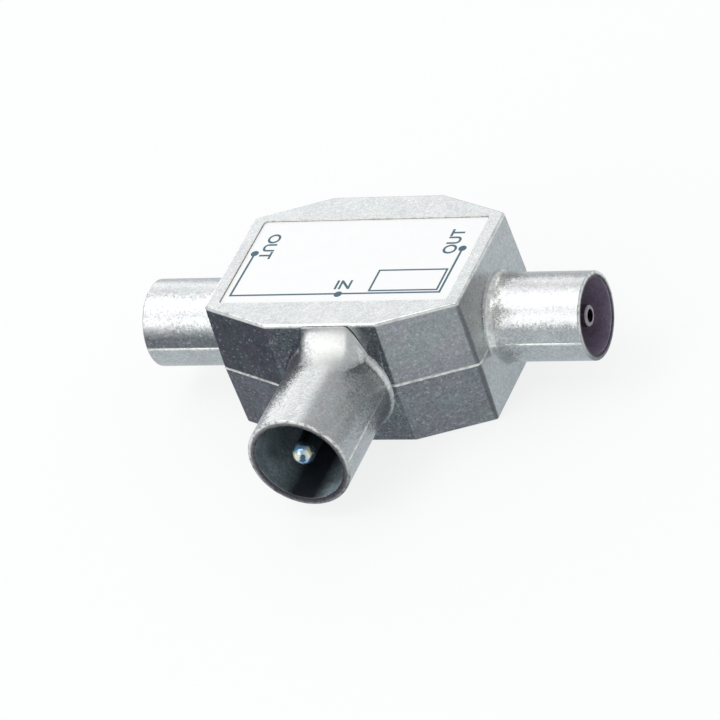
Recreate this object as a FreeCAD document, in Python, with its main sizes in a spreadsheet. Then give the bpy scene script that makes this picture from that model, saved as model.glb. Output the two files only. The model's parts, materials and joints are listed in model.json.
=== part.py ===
import FreeCAD, Part
import Sketcher
import math
import os

# Two-way coaxial splitter: an octagonal die casting with two slim side sleeves and a wider front shell,
# closed underneath by a pressed plate, with the divider circuit on a small board inside.
# Frame: X along the two side sleeves, -Y out of the front shell, Z up from the flat underside.
# The origin is the middle of the underside, straight below the crossing of the port axes.

doc = FreeCAD.newDocument("coaxial_splitter")
dims = doc.addObject("Spreadsheet::Sheet", "dims")

dimensions = {
    # octagonal box, measured at its parting line
    "axis_height": 7.7,
    "crown_height": 8.1,
    "half_length": 15.15,
    "half_depth": 11.35,
    "side_flat_half": 7.9,
    "front_flat_half": 6.55,
    "draft_angle": 2.0,
    "corner_round": 0.65,
    "edge_round": 0.25,
    "flash_height": 0.06,
    "flash_width": 0.2,
    # cavity and the seat of the cover plate
    "wall": 1.9,
    "roof": 1.4,
    "cavity_round": 0.8,
    "cover_rim": 1.25,
    "cover_thickness": 0.8,
    "cover_clearance": 0.05,
    # side sleeves and front shell
    "sleeve_radius": 4.75,
    "sleeve_bore": 4.05,
    "side_reach": 25.8,
    "sleeve_flare": 1.2,
    "sleeve_flare_sink": 0.33,
    "sleeve_root": 0.6,
    "shell_radius": 5.7,
    "shell_bore": 4.85,
    "front_reach": 23.9,
    "shell_flare": 1.1,
    "shell_flare_sink": 0.33,
    "shell_root": 1.2,
    "saddle_lift": 2.0,
    "saddle_rise": 2.05,
    "saddle_round": 2.2,
    "saddle_sink": 0.3,
    "mouth_round": 0.18,
    "web": 1.2,
    "neck_radius": 2.5,
    # insulators and centre contacts
    "insulator_length": 2.2,
    "insulator_clearance": 0.03,
    "contact_radius": 1.2,
    "contact_hole": 0.72,
    "contact_root": 1.8,
    "contact_edge": 0.2,
    "nose_round": 1.1,
    "shoulder_radius": 1.8,
    "shoulder_length": 0.6,
    "tail_radius": 0.6,
    "tail_reach": 2.4,
    "output_setback": 0.75,
    "input_setback": 0.5,
    # label and its recess
    "label_length": 26.7,
    "label_width": 14.15,
    "label_thickness": 0.12,
    "label_recess": 0.3,
    "label_clearance": 0.06,
    "label_round": 0.4,
    # circuit board and the two ground posts that carry it
    "board_thickness": 1.0,
    "board_clearance": 0.25,
    "notch_clearance": 0.05,
    "post_radius": 1.1,
    "post_x": 8.2,
    "post_y": 5.4,
    "spigot_radius": 0.6,
    "spigot_reach": 0.6,
    # two-hole ferrite cores and their windings
    "core_width": 6.0,
    "core_depth": 4.0,
    "core_height": 3.2,
    "core_round": 1.3,
    "core_hole": 0.8,
    "core_hole_spacing": 2.9,
    "splitting_core_y": 2.5,
    "matching_core_y": -3.4,
    "wire_radius": 0.15,
    "wire_bend": 0.3,
    "turn_pitch": 0.34,
    "turn_overhang": 0.4,
    # resistor and disc capacitors
    "lead_radius": 0.225,
    "lead_bend": 0.5,
    "lead_clearance": 0.05,
    "lead_reach": 0.6,
    "resistor_length": 3.8,
    "resistor_radius": 0.9,
    "resistor_waist": 0.12,
    "resistor_cap": 0.8,
    "resistor_lift": 1.3,
    "resistor_span": 6.2,
    "resistor_y": 7.1,
    "disc_thickness": 1.5,
    "disc_round": 0.5,
    "disc_lift": 0.5,
    "disc_span": 2.5,
    "disc_grip": 0.6,
    "disc_y": -3.4,
    "coupling_radius": 2.0,
    "coupling_x": -6.6,
    "trimming_radius": 1.7,
    "trimming_x": 6.6,
    # solder joints under the board
    "joint_margin": 0.45,
    "joint_height": 0.45,
    "joint_round": 0.35,
    "joint_slope": 35.0,
    "contact_joint_length": 2.1,
    "solder_gap": 0.02,
}
for row, (alias, number) in enumerate(dimensions.items(), 1):
    dims.set(f"A{row}", str(number))
    dims.setAlias(f"A{row}", alias)
doc.recompute()

# Heights that several pieces share
top = "(dims.axis_height + dims.crown_height)"
recess_floor = f"({top} - dims.label_recess)"
cavity_roof = f"({recess_floor} - dims.roof)"
board_under = "(dims.axis_height - dims.board_thickness / 2)"
board_top = "(dims.axis_height + dims.board_thickness / 2)"


def value(expression):
    return float(dims.evalExpression(expression))


def minus(expression):
    return f"-({expression})"


# Sketches and features, all bound to the sheet

def new_body(name):
    body = doc.addObject("PartDesign::Body", name)
    body.Label = name
    body.AllowCompound = True
    return body


def sketch_on(body, role, across="0", up="0", out="0"):
    plane = next(feature for feature in body.Origin.OriginFeatures if feature.Role == role)
    sketch = body.newObject("Sketcher::SketchObject", "outline")
    sketch.AttachmentSupport = [(plane, "")]
    sketch.MapMode = "FlatFace"
    sketch.setExpression("AttachmentOffset.Base.x", across)
    sketch.setExpression("AttachmentOffset.Base.y", up)
    sketch.setExpression("AttachmentOffset.Base.z", out)
    return sketch


def hold(sketch, kind, edge, point, expression):
    # one coordinate of a sketch point, measured from the sketch's origin
    place = value(expression)
    if abs(place) < 1e-9:
        axis = -2 if kind == "DistanceX" else -1
        sketch.addConstraint(Sketcher.Constraint("PointOnObject", edge, point, axis))
        return
    if place > 0:
        number = sketch.addConstraint(Sketcher.Constraint(kind, -1, 1, edge, point, place))
        sketch.setExpression(f"Constraints[{number}]", expression)
    else:
        number = sketch.addConstraint(Sketcher.Constraint(kind, edge, point, -1, 1, -place))
        sketch.setExpression(f"Constraints[{number}]", minus(expression))


def end_near(sketch, edge, place):
    gaps = [sketch.getPoint(edge, point).distanceToPoint(place) for point in (1, 2)]
    return 1 if gaps[0] < gaps[1] else 2


def add_outline(sketch, corners, arcs=None):
    # straight sides between the corners, except the sides that arcs gives a radius and a centre
    points = [FreeCAD.Vector(value(x), value(y), 0) for x, y in corners]
    edges = []
    for index, (start, end) in enumerate(zip(points, points[1:] + points[:1])):
        if arcs and index in arcs:
            radius, centre_x, centre_y = arcs[index]
            centre = FreeCAD.Vector(value(centre_x), value(centre_y), 0)
            middle = centre + ((start - centre) + (end - centre)).normalize() * value(radius)
            edges.append(sketch.addGeometry(Part.Arc(start, middle, end), False))
            number = sketch.addConstraint(Sketcher.Constraint("Radius", edges[-1], value(radius)))
            sketch.setExpression(f"Constraints[{number}]", radius)
        else:
            edges.append(sketch.addGeometry(Part.LineSegment(start, end), False))
    for corner, before, after in zip(points, edges[-1:] + edges[:-1], edges):
        ends = (before, end_near(sketch, before, corner), after, end_near(sketch, after, corner))
        sketch.addConstraint(Sketcher.Constraint("Coincident", *ends))
    for edge, corner, (x, y) in zip(edges, points, corners):
        point = end_near(sketch, edge, corner)
        hold(sketch, "DistanceX", edge, point, x)
        hold(sketch, "DistanceY", edge, point, y)


def add_rounded_outline(sketch, corners, radius):
    # a sharp construction outline carries the real one, whose corners are arcs tangent to its sides
    carrier = len(sketch.Geometry)
    add_outline(sketch, corners)
    count = len(corners)
    for edge in range(carrier, carrier + count):
        sketch.setConstruction(edge, True)
    points = [FreeCAD.Vector(value(x), value(y), 0) for x, y in corners]
    size = value(radius)
    starts = []
    ends = []
    middles = []
    for before, corner, after in zip(points[-1:] + points[:-1], points, points[1:] + points[:1]):
        along = (corner - before).normalize()
        onward = (after - corner).normalize()
        half_turn = along.getAngle(onward) / 2
        setback = size * math.tan(half_turn)
        ends.append(corner - along * setback)
        starts.append(corner + onward * setback)
        inward = (onward - along).normalize()
        middles.append(corner + inward * (size / math.cos(half_turn) - size))
    sides = []
    arcs = []
    for index in range(count):
        after = (index + 1) % count
        sides.append(sketch.addGeometry(Part.LineSegment(starts[index], ends[after]), False))
        arcs.append(sketch.addGeometry(Part.Arc(ends[after], middles[after], starts[after]), False))
    for index in range(count):
        after = (index + 1) % count
        for point in (1, 2):
            sketch.addConstraint(Sketcher.Constraint("PointOnObject", sides[index], point, carrier + index))
        sketch.addConstraint(Sketcher.Constraint("Tangent", sides[index], 2, arcs[index], 1))
        sketch.addConstraint(Sketcher.Constraint("Tangent", arcs[index], 2, sides[after], 1))
        number = sketch.addConstraint(Sketcher.Constraint("Radius", arcs[index], size))
        sketch.setExpression(f"Constraints[{number}]", radius)


def add_circle(sketch, radius, x="0", y="0"):
    centre = FreeCAD.Vector(value(x), value(y), 0)
    circle = Part.Circle(centre, FreeCAD.Vector(0, 0, 1), value(radius))
    edge = sketch.addGeometry(circle, False)
    hold(sketch, "DistanceX", edge, 3, x)
    hold(sketch, "DistanceY", edge, 3, y)
    number = sketch.addConstraint(Sketcher.Constraint("Radius", edge, value(radius)))
    sketch.setExpression(f"Constraints[{number}]", radius)


def octagon(inset):
    # the box's outline at the parting line, with every wall moved inwards by the same distance
    slope = "atan((dims.half_depth - dims.side_flat_half) / (dims.half_length - dims.front_flat_half))"
    long_x = f"(dims.half_length - ({inset}))"
    side_y = f"(dims.side_flat_half - ({inset}) * tan((90deg - {slope}) / 2))"
    front_x = f"(dims.front_flat_half - ({inset}) * tan({slope} / 2))"
    deep_y = f"(dims.half_depth - ({inset}))"
    return [
        (long_x, minus(side_y)),
        (long_x, side_y),
        (front_x, deep_y),
        (minus(front_x), deep_y),
        (minus(long_x), side_y),
        (minus(long_x), minus(side_y)),
        (minus(front_x), minus(deep_y)),
        (front_x, minus(deep_y)),
    ]


def rectangle(low_x, high_x, low_y, high_y):
    return [(low_x, low_y), (high_x, low_y), (high_x, high_y), (low_x, high_y)]


def pad(body, sketch, length, taper="0", downwards=False, both_ways=False):
    feature = body.newObject("PartDesign::Pad", "pad")
    feature.Profile = sketch
    feature.Reversed = downwards
    if both_ways:
        feature.SideType = "Symmetric"
    feature.setExpression("Length", length)
    feature.setExpression("TaperAngle", taper)
    return feature


def shape_volume(body):
    doc.recompute()
    return body.Shape.Volume


def cut(body, sketch, length, upwards=False, both_ways=False):
    before = shape_volume(body)
    feature = body.newObject("PartDesign::Pocket", "pocket")
    feature.Profile = sketch
    feature.Reversed = upwards
    if both_ways:
        feature.SideType = "Symmetric"
    feature.setExpression("Length", length)
    if shape_volume(body) >= before:
        raise RuntimeError(f"a pocket of {body.Label} removes nothing")
    return feature


def turn(body, sketch, removing=False):
    before = shape_volume(body) if removing else None
    kind = "PartDesign::Groove" if removing else "PartDesign::Revolution"
    feature = body.newObject(kind, "turned")
    feature.Profile = sketch
    feature.ReferenceAxis = (sketch, ["H_Axis"])
    feature.Angle = 360
    if removing and shape_volume(body) >= before:
        raise RuntimeError(f"a groove of {body.Label} removes nothing")
    return feature


def round_edges(body, radius, wanted):
    doc.recompute()
    base = body.Tip
    names = [f"Edge{number}" for number, edge in enumerate(base.Shape.Edges, 1) if wanted(edge)]
    if not names:
        raise RuntimeError(f"no edge of {body.Label} to round")
    feature = body.newObject("PartDesign::Fillet", "round")
    feature.Base = (base, names)
    feature.setExpression("Radius", radius)
    doc.recompute()
    return feature


def lies_at_height(edge, height):
    return abs(edge.BoundBox.ZMin - height) < 1e-4 and abs(edge.BoundBox.ZMax - height) < 1e-4


# Each port is described along its own axis: how far the wall and the mouth lie from the crossing
side_port = {
    "wall": "dims.half_length",
    "reach": "dims.side_reach",
    "radius": "dims.sleeve_radius",
    "bore": "dims.sleeve_bore",
    "flare": "dims.sleeve_flare",
    "sink": "dims.sleeve_flare_sink",
    "root": "dims.sleeve_root",
    "setback": "dims.output_setback",
}
front_port = {
    "wall": "dims.half_depth",
    "reach": "dims.front_reach",
    "radius": "dims.shell_radius",
    "bore": "dims.shell_bore",
    "flare": "dims.shell_flare",
    "sink": "dims.shell_flare_sink",
    "root": "dims.shell_root",
    "setback": "dims.input_setback",
}
port_directions = (("XZ_Plane", side_port, ""), ("XZ_Plane", side_port, "-"), ("YZ_Plane", front_port, "-"))


def cavity_face(port):
    return f"({port['wall']} - dims.wall)"


def bore_floor(port):
    return f"({cavity_face(port)} + dims.web)"


def insulator_face(port):
    return f"({bore_floor(port)} + dims.insulator_length)"


def contact_tip(port):
    return f"({port['reach']} - {port['setback']})"


def make_housing():
    body = new_body("housing")

    # octagonal box, drafted up and down from the parting line
    outline = sketch_on(body, "XY_Plane", out="dims.axis_height")
    add_rounded_outline(outline, octagon("0"), "dims.corner_round")
    pad(body, outline, "dims.crown_height", taper="-dims.draft_angle")
    pad(body, outline, "dims.axis_height", taper="-dims.draft_angle", downwards=True)
    round_edges(body, "dims.edge_round", lambda edge: lies_at_height(edge, 0) or lies_at_height(edge, value(top)))

    # the three ports, each turned in one piece with its drafted root and the flare that blends it into its wall
    for role, port, sign in port_directions:
        along_axis = sketch_on(body, role, up="dims.axis_height")
        flare_foot = f"({port['wall']} - {port['sink']})"
        flare_end = f"({flare_foot} + {port['flare']})"
        root_radius = f"({port['radius']} + {port['root']} * tan(dims.draft_angle * 1deg))"
        flare_radius = f"({root_radius} + {port['flare']})"
        steps = [
            (cavity_face(port), "0"),
            (cavity_face(port), port["radius"]),
            (flare_foot, flare_radius),
            (flare_end, root_radius),
            (f"({flare_end} + {port['root']})", port["radius"]),
            (port["reach"], port["radius"]),
            (port["reach"], "0"),
        ]
        flare = (port["flare"], f"{sign}{flare_end}", flare_radius)
        add_outline(along_axis, [(f"{sign}({along})", radius) for along, radius in steps], {2: flare})
        turn(body, along_axis)

    # saddle between the top edge and the front shell, turned about a higher axis so that it fades at the sides
    foot = f"({front_port['wall']} - dims.saddle_sink)"
    end = f"({foot} + sqrt(dims.saddle_round ^ 2 - (dims.saddle_round - dims.saddle_rise) ^ 2))"
    inner = "(dims.shell_radius - dims.saddle_lift)"
    outer = f"({inner} + dims.saddle_rise)"
    steps = [(cavity_face(front_port), "0"), (cavity_face(front_port), outer), (foot, outer), (end, inner), (end, "0")]
    saddle = sketch_on(body, "YZ_Plane", up="dims.axis_height + dims.saddle_lift")
    hollow = ("dims.saddle_round", minus(end), f"({inner} + dims.saddle_round)")
    add_outline(saddle, [(minus(along), radius) for along, radius in steps], {2: hollow})
    turn(body, saddle)

    # thin flash left along the parting line
    flash = sketch_on(body, "XY_Plane", out="dims.axis_height")
    add_rounded_outline(flash, octagon("-dims.flash_height"), "dims.corner_round + dims.flash_height")
    pad(body, flash, "dims.flash_width", both_ways=True)

    # cavity, the seat of the cover plate and the label's recess
    cavity = sketch_on(body, "XY_Plane")
    add_rounded_outline(cavity, octagon("dims.wall"), "dims.cavity_round")
    cut(body, cavity, cavity_roof, upwards=True)
    seat = sketch_on(body, "XY_Plane")
    add_rounded_outline(seat, octagon("dims.cover_rim"), "dims.cavity_round")
    cut(body, seat, "dims.cover_thickness", upwards=True)
    recess = sketch_on(body, "XY_Plane", out=top)
    half_x = "(dims.label_length / 2 + dims.label_clearance)"
    half_y = "(dims.label_width / 2 + dims.label_clearance)"
    corner = "dims.label_round + dims.label_clearance"
    add_rounded_outline(recess, rectangle(minus(half_x), half_x, minus(half_y), half_y), corner)
    cut(body, recess, "dims.label_recess")

    # stepped bores: a wide one from each mouth and a neck through the web into the cavity
    for role, port, sign in port_directions:
        bore = sketch_on(body, role, up="dims.axis_height")
        inside = f"({port['wall']} - 2 * dims.wall)"
        outside = f"({port['reach']} + dims.wall)"
        steps = [
            (inside, "0"),
            (inside, "dims.neck_radius"),
            (bore_floor(port), "dims.neck_radius"),
            (bore_floor(port), port["bore"]),
            (outside, port["bore"]),
            (outside, "0"),
        ]
        add_outline(bore, [(f"{sign}({along})", radius) for along, radius in steps])
        turn(body, bore, removing=True)
    round_edges(body, "dims.mouth_round", is_mouth_edge)

    # ground posts that hang from the roof, each with a spigot through the board
    posts = sketch_on(body, "XY_Plane", out=board_top)
    for x, y in post_places:
        add_circle(posts, "dims.post_radius", x, y)
    pad(body, posts, f"{cavity_roof} - {board_top} + dims.roof / 2")
    spigots = sketch_on(body, "XY_Plane", out=board_top)
    for x, y in post_places:
        add_circle(spigots, "dims.spigot_radius", x, y)
    pad(body, spigots, "dims.board_thickness + dims.spigot_reach", downwards=True)
    return body


def is_mouth_edge(edge):
    box = edge.BoundBox
    at_side = box.XLength < 1e-4 and abs(abs(box.XMin) - value("dims.side_reach")) < 1e-4
    at_front = box.YLength < 1e-4 and abs(box.YMin + value("dims.front_reach")) < 1e-4
    return at_side or at_front


def make_cover_plate():
    body = new_body("cover_plate")
    outline = sketch_on(body, "XY_Plane")
    add_rounded_outline(outline, octagon("dims.cover_rim + dims.cover_clearance"), "dims.cavity_round")
    pad(body, outline, "dims.cover_thickness")
    return body


def make_label():
    body = new_body("label")
    outline = sketch_on(body, "XY_Plane", out=recess_floor)
    half_x = "(dims.label_length / 2)"
    half_y = "(dims.label_width / 2)"
    add_rounded_outline(outline, rectangle(minus(half_x), half_x, minus(half_y), half_y), "dims.label_round")
    pad(body, outline, "dims.label_thickness")
    return body


# Turned pieces are drawn along +X at the height of the port axes and then swung round to their port

def turned_piece(name, steps, swing):
    body = new_body(name)
    outline = sketch_on(body, "XZ_Plane", up="dims.axis_height")
    add_outline(outline, steps)
    turn(body, outline)
    body.Placement = FreeCAD.Placement(FreeCAD.Vector(), FreeCAD.Rotation(FreeCAD.Vector(0, 0, 1), swing))
    return body


def make_insulator(name, port, swing):
    hole = "(dims.tail_radius + dims.insulator_clearance)"
    neck = "(dims.neck_radius - dims.insulator_clearance)"
    flange = f"({port['bore']} - dims.insulator_clearance)"
    steps = [
        (cavity_face(port), hole),
        (cavity_face(port), neck),
        (bore_floor(port), neck),
        (bore_floor(port), flange),
        (insulator_face(port), flange),
        (insulator_face(port), hole),
    ]
    return turned_piece(name, steps, swing)


def contact_steps(port):
    # tail, shoulder on the insulator's face, and the pin up to its tip
    shoulder = f"({insulator_face(port)} + dims.shoulder_length)"
    tail_end = f"({cavity_face(port)} - dims.tail_reach)"
    return [
        (tail_end, "0"),
        (tail_end, "dims.tail_radius"),
        (insulator_face(port), "dims.tail_radius"),
        (insulator_face(port), "dims.shoulder_radius"),
        (shoulder, "dims.shoulder_radius"),
        (shoulder, "dims.contact_radius"),
        (contact_tip(port), "dims.contact_radius"),
    ]


def at_tip(port):
    def test(edge):
        box = edge.BoundBox
        flat = box.XLength < 1e-4 and abs(box.XMin - value(contact_tip(port))) < 1e-4
        return flat and abs(box.YLength - 2 * value("dims.contact_radius")) < 1e-3
    return test


def make_output_contact(name, swing):
    # hollow from its tip down to a solid root above the shoulder
    tip = contact_tip(side_port)
    floor = f"({insulator_face(side_port)} + dims.shoulder_length + dims.contact_root)"
    hollow = [
        (tip, "dims.contact_hole"),
        (floor, "dims.contact_hole"),
        (f"({floor} - dims.contact_hole)", "0"),
    ]
    body = turned_piece(name, contact_steps(side_port) + hollow, swing)
    round_edges(body, "dims.contact_edge", at_tip(side_port))
    return body


def make_input_contact(name, swing):
    body = turned_piece(name, contact_steps(front_port) + [(contact_tip(front_port), "0")], swing)
    round_edges(body, "dims.nose_round", at_tip(front_port))
    return body


# Places on the board: where wires and leads go through it, and how thick they are

def winding_lead_y(core_y, side):
    return f"({core_y} + {side} * (dims.core_depth / 2 + 2 * dims.turn_overhang))"


half_hole_spacing = "(dims.core_hole_spacing / 2)"
winding_leads = [
    (sign + half_hole_spacing, winding_lead_y(core_y, side), "dims.wire_radius")
    for core_y, side in (("dims.matching_core_y", -1), ("dims.splitting_core_y", -1), ("dims.splitting_core_y", 1))
    for sign in ("-", "")
]
resistor_leads = [(sign + "dims.resistor_span / 2", "dims.resistor_y", "dims.lead_radius") for sign in ("-", "")]
disc_leads = [
    (f"({disc_x} {sign} dims.disc_span / 2)", "dims.disc_y", "dims.lead_radius")
    for disc_x in ("dims.coupling_x", "dims.trimming_x")
    for sign in ("-", "+")
]
all_leads = winding_leads + resistor_leads + disc_leads
post_places = [(sign + "dims.post_x", "dims.post_y") for sign in ("-", "")]


def make_circuit_board():
    body = new_body("circuit_board")
    outline = sketch_on(body, "XY_Plane", out=board_under)
    add_rounded_outline(outline, octagon("dims.wall + dims.board_clearance"), "dims.cavity_round")
    pad(body, outline, "dims.board_thickness")

    # notches for the three contact tails
    half = "(dims.tail_radius + dims.notch_clearance)"
    side_end = f"({cavity_face(side_port)} - dims.tail_reach - dims.notch_clearance)"
    front_end = f"({cavity_face(front_port)} - dims.tail_reach - dims.notch_clearance)"
    notches = sketch_on(body, "XY_Plane", out=board_under)
    add_outline(notches, rectangle(side_end, "dims.half_length", minus(half), half))
    add_outline(notches, rectangle("-dims.half_length", minus(side_end), minus(half), half))
    add_outline(notches, rectangle(minus(half), half, "-dims.half_depth", minus(front_end)))
    cut(body, notches, "dims.board_thickness", upwards=True)

    # holes for the leads and the ground spigots
    holes = sketch_on(body, "XY_Plane", out=board_under)
    for x, y, radius in all_leads:
        add_circle(holes, f"{radius} + dims.lead_clearance", x, y)
    for x, y in post_places:
        add_circle(holes, "dims.spigot_radius + dims.lead_clearance", x, y)
    cut(body, holes, "dims.board_thickness", upwards=True)
    return body


def make_core(name, core_y):
    # two-hole ferrite core, its holes along Y
    body = new_body(name)
    outline = sketch_on(body, "XZ_Plane", up=f"{board_top} + dims.core_height / 2")
    half_x = "(dims.core_width / 2)"
    half_z = "(dims.core_height / 2)"
    add_outline(outline, rectangle(minus(half_x), half_x, minus(half_z), half_z))
    pad(body, outline, "dims.core_depth", both_ways=True)
    round_edges(body, "dims.core_round", lambda edge: edge.BoundBox.YLength > value("dims.core_depth") / 2)
    holes = sketch_on(body, "XZ_Plane", up=f"{board_top} + dims.core_height / 2")
    for sign in ("-", ""):
        add_circle(holes, "dims.core_hole", sign + half_hole_spacing, "0")
    cut(body, holes, "2 * dims.core_depth", both_ways=True)
    body.Placement.Base = FreeCAD.Vector(0, value(core_y), 0)
    return body


# Wires follow straight runs joined by tangent arcs of one bend radius

def bent_wire(points, bend, radius):
    edges = []
    start = points[0]
    for before, corner, after in zip(points, points[1:], points[2:]):
        along = (corner - before).normalize()
        onward = (after - corner).normalize()
        half_turn = along.getAngle(onward) / 2
        setback = bend * math.tan(half_turn)
        first = corner - along * setback
        last = corner + onward * setback
        inward = (onward - along).normalize()
        middle = corner + inward * (bend / math.cos(half_turn) - bend)
        edges.append(Part.LineSegment(start, first).toShape())
        edges.append(Part.Arc(first, middle, last).toShape())
        start = last
    edges.append(Part.LineSegment(start, points[-1]).toShape())
    section = Part.Wire(Part.Circle(points[0], points[1] - points[0], radius).toShape())
    return Part.Wire(edges).makePipeShell([section], True, True)


def wire_node(name, solids):
    feature = doc.addObject("Part::Feature", name)
    feature.Label = name
    feature.Shape = solids[0] if len(solids) == 1 else Part.makeCompound(solids)
    feature.Placement = FreeCAD.Placement()
    return feature


def make_winding(name, core_y, side, first_level):
    # two turns through both holes of a core, the leads on one end of the core and down through the board
    x = value(half_hole_spacing)
    middle_z = value(f"{board_top} + dims.core_height / 2")
    low = middle_z + first_level * value("dims.turn_pitch")
    high = low + value("dims.turn_pitch")
    near_y = value(f"{core_y} + {side} * (dims.core_depth / 2 + dims.turn_overhang)")
    far_y = value(f"{core_y} - {side} * (dims.core_depth / 2 + dims.turn_overhang)")
    lead_y = value(winding_lead_y(core_y, side))
    under = value(f"{board_under} - dims.lead_reach")
    route = [
        (-x, lead_y, under),
        (-x, lead_y, low),
        (-x, far_y, low),
        (x, far_y, low),
        (x, near_y, low),
        (-x, near_y, high),
        (-x, far_y, high),
        (x, far_y, high),
        (x, lead_y, high),
        (x, lead_y, under),
    ]
    points = [FreeCAD.Vector(*place) for place in route]
    return wire_node(name, [bent_wire(points, value("dims.wire_bend"), value("dims.wire_radius"))])


resistor_height = f"({board_top} + dims.resistor_lift)"


def make_resistor():
    # moulded body with a slight waist between its end caps
    body = new_body("balance_resistor")
    outline = sketch_on(body, "XZ_Plane", up=resistor_height)
    half = "(dims.resistor_length / 2)"
    cap = f"({half} - dims.resistor_cap)"
    waist = "(dims.resistor_radius - dims.resistor_waist)"
    shoulder = f"({cap} - dims.resistor_waist)"
    add_outline(outline, [
        (minus(half), "0"),
        (minus(half), "dims.resistor_radius"),
        (minus(cap), "dims.resistor_radius"),
        (minus(shoulder), waist),
        (shoulder, waist),
        (cap, "dims.resistor_radius"),
        (half, "dims.resistor_radius"),
        (half, "0"),
    ])
    turn(body, outline)
    ends = value("dims.resistor_length") / 2
    round_edges(body, "dims.resistor_cap / 3", lambda edge: abs(abs(edge.BoundBox.XMin) - ends) < 1e-4
                and edge.BoundBox.XLength < 1e-4)
    body.Placement.Base = FreeCAD.Vector(0, value("dims.resistor_y"), 0)
    return body


def make_resistor_leads():
    height = value(resistor_height)
    under = value(f"{board_under} - dims.lead_reach")
    y = value("dims.resistor_y")
    solids = []
    for side in (-1, 1):
        start = side * value("dims.resistor_length") / 2
        end = side * value("dims.resistor_span") / 2
        points = [FreeCAD.Vector(start, y, height), FreeCAD.Vector(end, y, height), FreeCAD.Vector(end, y, under)]
        solids.append(bent_wire(points, value("dims.lead_bend"), value("dims.lead_radius")))
    return wire_node("balance_resistor_leads", solids)


def disc_lead_top(radius):
    # the leads end a short way inside the disc's rim
    rim = f"sqrt({radius} ^ 2 - (dims.disc_span / 2) ^ 2)"
    return f"({board_top} + dims.disc_lift + {radius} - {rim} + dims.disc_grip)"


def make_disc(name, radius, disc_x):
    body = new_body(name)
    outline = sketch_on(body, "XZ_Plane", up=f"{board_top} + dims.disc_lift + {radius}")
    add_circle(outline, radius)
    pad(body, outline, "dims.disc_thickness", both_ways=True)
    round_edges(body, "dims.disc_round", lambda edge: edge.BoundBox.YLength < 1e-4)
    grips = sketch_on(body, "XY_Plane", out=disc_lead_top(radius))
    for sign in ("-", ""):
        add_circle(grips, "dims.lead_radius + dims.solder_gap", sign + "dims.disc_span / 2", "0")
    cut(body, grips, f"{radius}")
    body.Placement.Base = FreeCAD.Vector(value(disc_x), value("dims.disc_y"), 0)
    return body


def make_disc_leads(name, radius, disc_x):
    under = value(f"{board_under} - dims.lead_reach")
    length = value(disc_lead_top(radius)) - under
    solids = []
    for side in (-1, 1):
        x = value(disc_x) + side * value("dims.disc_span") / 2
        foot = FreeCAD.Vector(x, value("dims.disc_y"), under)
        solids.append(Part.makeCylinder(value("dims.lead_radius"), length, foot))
    return wire_node(name, solids)


# Solder joints under the board: a domed ring round each lead and spigot, a tapered bead along each tail

def make_rings(name, places):
    body = new_body(name)
    foot = sketch_on(body, "XY_Plane", out=board_under)
    for x, y, radius in places:
        add_circle(foot, f"{radius} + dims.joint_margin", x, y)
    pad(body, foot, "dims.joint_height", downwards=True)
    low_end = value(f"{board_under} - dims.joint_height")
    round_edges(body, "dims.joint_round", lambda edge: lies_at_height(edge, low_end))
    holes = sketch_on(body, "XY_Plane", out=board_under)
    for x, y, radius in places:
        add_circle(holes, f"{radius} + dims.solder_gap", x, y)
    cut(body, holes, "dims.joint_height")
    return body


def make_contact_solder():
    body = new_body("contact_solder")
    half = "(dims.tail_radius + dims.joint_margin)"
    foot = sketch_on(body, "XY_Plane", out=board_under)
    spans = {}
    for side, port in (("side", side_port), ("front", front_port)):
        inner = f"({cavity_face(port)} - dims.tail_reach)"
        spans[side] = (inner, f"({inner} + dims.contact_joint_length)")
    inner, outer = spans["side"]
    add_outline(foot, rectangle(inner, outer, minus(half), half))
    add_outline(foot, rectangle(minus(outer), minus(inner), minus(half), half))
    inner, outer = spans["front"]
    add_outline(foot, rectangle(minus(half), half, minus(outer), minus(inner)))
    pad(body, foot, "dims.joint_height", taper="-dims.joint_slope", downwards=True)
    for role in ("YZ_Plane", "XZ_Plane"):
        tail = sketch_on(body, role, up="dims.axis_height")
        add_circle(tail, "dims.tail_radius + dims.solder_gap")
        cut(body, tail, "2 * dims.half_length", both_ways=True)
    return body


nodes = [
    make_housing(),
    make_cover_plate(),
    make_label(),
    make_insulator("input_insulator", front_port, -90),
    make_insulator("output_insulator_right", side_port, 0),
    make_insulator("output_insulator_left", side_port, 180),
    make_input_contact("input_contact", -90),
    make_output_contact("output_contact_right", 0),
    make_output_contact("output_contact_left", 180),
    make_circuit_board(),
    make_core("matching_core", "dims.matching_core_y"),
    make_winding("matching_winding", "dims.matching_core_y", -1, -0.5),
    make_core("splitting_core", "dims.splitting_core_y"),
    make_winding("splitting_winding_left", "dims.splitting_core_y", -1, -1.5),
    make_winding("splitting_winding_right", "dims.splitting_core_y", 1, 0.5),
    make_resistor(),
    make_resistor_leads(),
    make_disc("coupling_capacitor", "dims.coupling_radius", "dims.coupling_x"),
    make_disc_leads("coupling_capacitor_leads", "dims.coupling_radius", "dims.coupling_x"),
    make_disc("trimming_capacitor", "dims.trimming_radius", "dims.trimming_x"),
    make_disc_leads("trimming_capacitor_leads", "dims.trimming_radius", "dims.trimming_x"),
    make_contact_solder(),
    make_rings("lead_solder", all_leads),
    make_rings("ground_solder", [(x, y, "dims.spigot_radius") for x, y in post_places]),
]
doc.recompute()

for thing in doc.Objects:
    if "Invalid" in thing.State or "Error" in thing.State:
        raise RuntimeError(f"{thing.Label} could not be built: {thing.State}")
for node in nodes:
    if node.Shape.isNull() or not node.Shape.isValid():
        raise RuntimeError(f"{node.Label} has no valid shape")

os.makedirs("parts", exist_ok=True)
for node in nodes:
    node.Shape.exportStep(f"parts/{node.Label}.step")
    print(node.Label, len(node.Shape.Solids), "solid(s)", round(node.Shape.Volume, 2), "mm3")
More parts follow.
